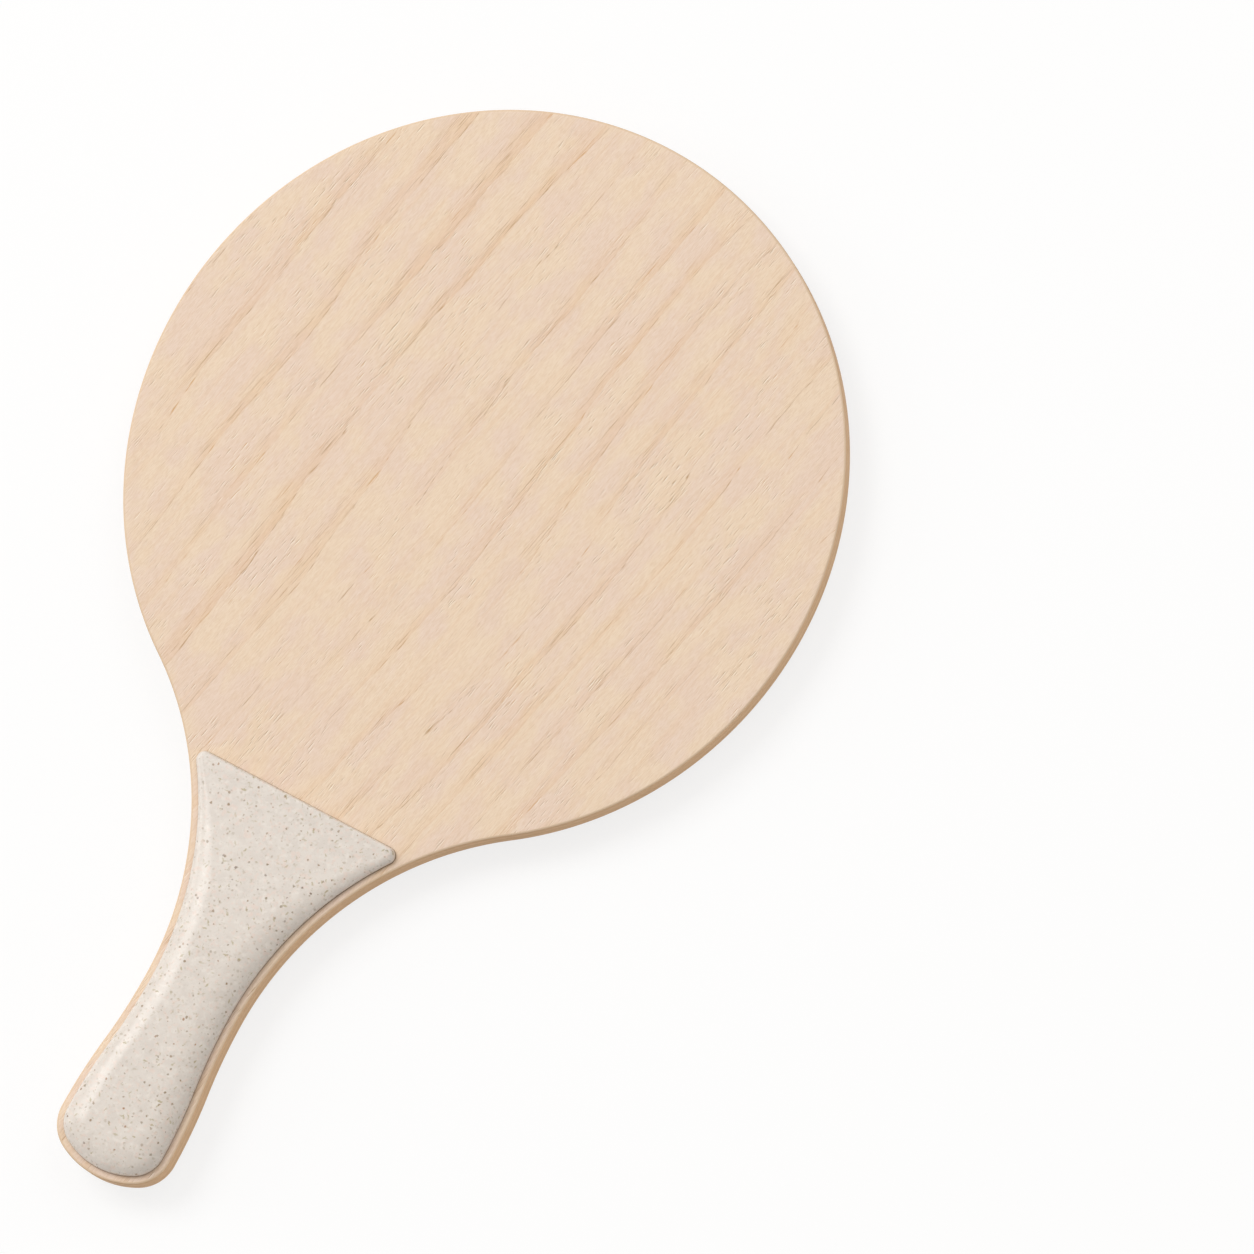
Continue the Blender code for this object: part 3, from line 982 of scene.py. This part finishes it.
@dataclass
class GripPair:
    """The two grip mouldings: hollow shells with rounded flanks that fan out to a thin straight top.

    A slimming power over 1 keeps the flanks wide until well up the fan. The hidden wall is thinner than
    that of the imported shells, so that the pins' ends stay clear of it.
    """

    outline: BatOutline
    rim_width: float = 0.0026
    fan_corner_radius: float = 0.0028
    fan_height: float = 0.0026
    fan_slope_length: float = 0.057
    skirt_height: float = 0.0006
    handle_flank: float = 0.0093
    fan_flank: float = 0.0023
    slimming_power: float = 1.6
    top_flank: float = 0.0009
    wall: float = 0.0017
    fan_land: float = 0.012
    core_corner_radius: float = 0.0030
    flank_steps: int = 18

    def fan_share(self, station: float) -> float:
        """Find how far up the fan a station lies.

        Args:
            station: The way up from the butt's end.

        Returns:
            0 along the handle, easing to 1 at the top of the fan.
        """
        share = 1 - (self.outline.handle_length - station) / self.fan_slope_length
        share = min(max(share, 0.0), 1.0)
        return share * share * (3 - 2 * share)

    def flank_width(self, rim: RimPoint, shrink: float) -> float:
        """Find how wide the rounded flank is: wide on the handle and slim along the top of the fan.

        Args:
            rim: The point of the outline that it starts from.
            shrink: How far the surface lies inside the moulding's outer one.

        Returns:
            The flank's width.
        """
        slimming = self.fan_share(rim.point.y) ** self.slimming_power
        side = self.handle_flank + (self.fan_flank - self.handle_flank) * slimming
        side = max(side - shrink, 0.0)
        slim = min(self.top_flank, side)
        return min(side + (slim - side) * max(rim.normal.y, 0.0), rim.room)

    def rings(self, rim: list[RimPoint], height: float, skirt: float, shrink: float) -> list[Ring]:
        """Draw the rings of a shell's surface, from its seat up to its crown.

        Args:
            rim: The outline at the seat.
            height: Height of the crown along the handle.
            skirt: Height of the upright part at the foot, or 0 where the flank starts at the seat.
            shrink: How far the surface lies inside the moulding's outer one.

        Returns:
            Rings of points whose Z is the height above the seat.
        """
        rings = [[self.outline.place(point, 0.0, 0.0) for point in rim]] if skirt else []
        for step in range(self.flank_steps + 1):
            angle = math.pi / 2 * step / self.flank_steps
            ring = []
            for point in rim:
                width = self.flank_width(point, shrink) * (1 - math.cos(angle))
                station = (point.point - point.normal * width).y
                crown = height + (self.fan_height - height) * self.fan_share(station)
                rise = crown - shrink - skirt
                ring.append(self.outline.place(point, width, skirt + rise * math.sin(angle)))
            rings.append(ring)
        return rings

    def build(self, side: Side, finish: Material) -> None:
        """Model one moulding on its side of the bat and dress it.

        Args:
            side: The side of the bat.
            finish: Its material.
        """
        node = f"{side.name.lower()}_grip_shell"
        low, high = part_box(node)
        seat = low.z if side is Side.FRONT else high.z
        top = self.outline.handle_length
        outer = self.outline.grip(self.rim_width, top, self.fan_corner_radius)
        inner = self.outline.grip(self.rim_width + self.wall, top - self.fan_land, self.core_corner_radius)
        height = high.z - low.z
        inside = self.rings(inner, height, 0.0, self.wall)
        rings = inside[::-1] + self.rings(outer, height, self.skirt_height, 0.0)
        shape = bmesh.new()
        rows = []
        for ring in rings:
            spots = [(point.x, point.y, seat + side.value * point.z) for point in ring]
            rows.append([shape.verts.new(spot) for spot in spots])
        join_rings(shape, rows)
        # Each crown is spanned from its right side to the matching points of its left side
        for crown in (rows[0], rows[-1]):
            count = len(crown)
            shape.faces.new((crown[0], crown[1], crown[-1]))
            for i in range(1, count // 2):
                shape.faces.new((crown[i], crown[i + 1], crown[count - i - 1], crown[count - i]))
        add_piece(f"{side.name.lower()}_grip_moulding", shape, node, finish)

    def dress(self) -> None:
        """Build both mouldings in the same composite."""
        finish = StrawComposite().material()
        for side in Side:
            self.build(side, finish)


@dataclass
class PressPins:
    """The pins that hold the mouldings together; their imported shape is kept."""

    prefix: str = "grip_pin_"

    @classmethod
    def nodes(cls) -> list[str]:
        """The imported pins' names."""
        return sorted(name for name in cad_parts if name.startswith(cls.prefix))

    def dress(self) -> None:
        """Give every packed pin its finish."""
        finish = PinPolypropylene().material()
        for name in self.nodes():
            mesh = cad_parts[name].data
            mesh.materials.clear()
            mesh.materials.append(finish)
            LOG.info("%s keeps its packed shape", name)


def direction_to(azimuth: float, elevation: float) -> Vector:
    """Find the direction from the bat to something that stands round it.

    Args:
        azimuth: Degrees round the bat, from its butt's side towards +X.
        elevation: Degrees above the floor.

    Returns:
        A vector of length 1.
    """
    turn, rise = math.radians(azimuth), math.radians(elevation)
    return Vector((math.sin(turn) * math.cos(rise), -math.cos(turn) * math.cos(rise), math.sin(rise)))


@dataclass
class Lamp:
    """A soft box: where it stands round the bat, and the share of full white it gives a white floor."""

    name: str
    azimuth: float
    elevation: float
    share: float
    size: float
    distance: float = 6.4

    def build(self, aim: Vector) -> None:
        """Hang the lamp, pointing at the bat.

        Args:
            aim: The point that it faces.
        """
        back = direction_to(self.azimuth, self.elevation)
        light = bpy.data.lights.new(self.name, "AREA")
        light.shape = "SQUARE"
        light.size = self.size
        # A lamp of this power lights a level matt surface to its share of the surface's own colour
        light.energy = self.share * math.pi**2 * self.distance**2 / back.z
        lamp = add_object(self.name, light)
        lamp.location = aim + back * self.distance
        lamp.rotation_mode = "QUATERNION"
        lamp.rotation_quaternion = back.to_track_quat("Z", "Y")


@dataclass
class Studio:
    """A white floor under the bat, an even sky, soft boxes and the photograph's camera.

    The sky lights the bat slightly warm, as a pale room does, and is itself seen as plain white.
    """

    aim: tuple[float, float, float] = (0.0673, 0.0452, 0.0138)
    azimuth: float = 68.1
    elevation: float = 74.0
    roll: float = -40.0
    distance: float = 3.205
    lens: float = 287.1
    sensor: float = 36.0
    floor_size: float = 40.0
    floor_drop: float = 0.0002
    shadow_share: float = 0.22
    sky_share: float = 0.44
    sky_colour: str = "#FFFAF4"

    def build_camera(self) -> None:
        """Stand the camera where the photograph was taken from."""
        data = bpy.data.cameras.new("photo_camera")
        data.sensor_width = self.sensor
        data.lens = self.lens
        camera = add_object("photo_camera", data)
        back = direction_to(self.azimuth, self.elevation)
        level = (-back).to_track_quat("-Z", "Y").to_matrix().to_4x4()
        roll = Matrix.Rotation(math.radians(self.roll), 4, "Z")
        camera.matrix_world = Matrix.Translation(Vector(self.aim) + back * self.distance) @ level @ roll
        bpy.context.scene.camera = camera

    def build_floor(self) -> None:
        """Lay the floor; seen from below it is clear, so that the bat's rear can be looked at."""
        material = bpy.data.materials.new("white_studio_floor")
        material.use_nodes = True
        tree = material.node_tree
        tree.nodes.remove(tree.nodes["Principled BSDF"])
        matt = add_node(tree, "BsdfDiffuse", {"Color": linear(WHITE)})
        glow = add_node(tree, "Emission", {"Color": linear(WHITE), "Strength": 1.0})
        share = {0: self.direct_view(tree), 1: 1 - self.shadow_share}
        share = add_node(tree, "Math", share, operation="MULTIPLY")
        top = add_node(tree, "MixShader", {0: share, 1: matt, 2: glow})
        below = add_node(tree, "NewGeometry", output="Backfacing")
        clear = add_node(tree, "BsdfTransparent")
        both = add_node(tree, "MixShader", {0: below, 1: top, 2: clear})
        tree.links.new(both, tree.nodes["Material Output"].inputs["Surface"])
        shape = bmesh.new()
        bmesh.ops.create_grid(shape, x_segments=1, y_segments=1, size=self.floor_size / 2)
        floor = add_object("studio_floor", to_mesh("studio_floor", shape, material))
        floor.location.z = -self.floor_drop

    @staticmethod
    def direct_view(tree: Tree) -> Socket:
        """Pick out the rays that show the background itself: from the camera, in a gloss or through glass.

        Args:
            tree: The nodes of the floor or the sky.

        Returns:
            1 for such a ray and 0 for any other.
        """
        rays = add_node(tree, "LightPath").node.outputs
        seen = rays["Is Camera Ray"]
        for name in ("Is Glossy Ray", "Is Transmission Ray"):
            seen = add_node(tree, "Math", {0: seen, 1: rays[name]}, operation="MAXIMUM")
        return seen

    def build_sky(self) -> None:
        """Surround the bat with an even sky that lights it softly and looks white."""
        world = bpy.data.worlds.new("white_sky")
        world.use_nodes = True
        bpy.context.scene.world = world
        tree = world.node_tree
        seen = self.direct_view(tree)
        background = tree.nodes["Background"]
        colour = layered(tree, linear(self.sky_colour), [(seen, linear(WHITE))])
        tree.links.new(colour, background.inputs["Color"])
        strength = add_node(tree, "MapRange", {0: seen, 3: self.sky_share, 4: 1.0})
        tree.links.new(strength, background.inputs["Strength"])

    def build(self) -> None:
        """Set up the camera, the floor, the sky and the lamps."""
        self.build_camera()
        self.build_floor()
        self.build_sky()
        for lamp in (
            Lamp("key_softbox", azimuth=253, elevation=51, share=0.40, size=3.4),
            Lamp("tip_softbox", azimuth=165, elevation=50, share=0.12, size=4.0),
            Lamp("low_softbox", azimuth=285, elevation=22, share=0.05, size=2.6),
        ):
            lamp.build(Vector(self.aim))
        bpy.context.scene.view_settings.view_transform = "Standard"
        LOG.info("studio is lit, with a camera %.2f m away", self.distance)


def main() -> None:
    """Build the dressed paddle and its studio."""
    logging.basicConfig(level=logging.INFO, format="%(name)s: %(message)s")
    outline = BatOutline.from_frame()
    Board(outline).dress()
    GripPair(outline).dress()
    PressPins().dress()
    Studio().build()


if __name__ == "__main__":
    main()
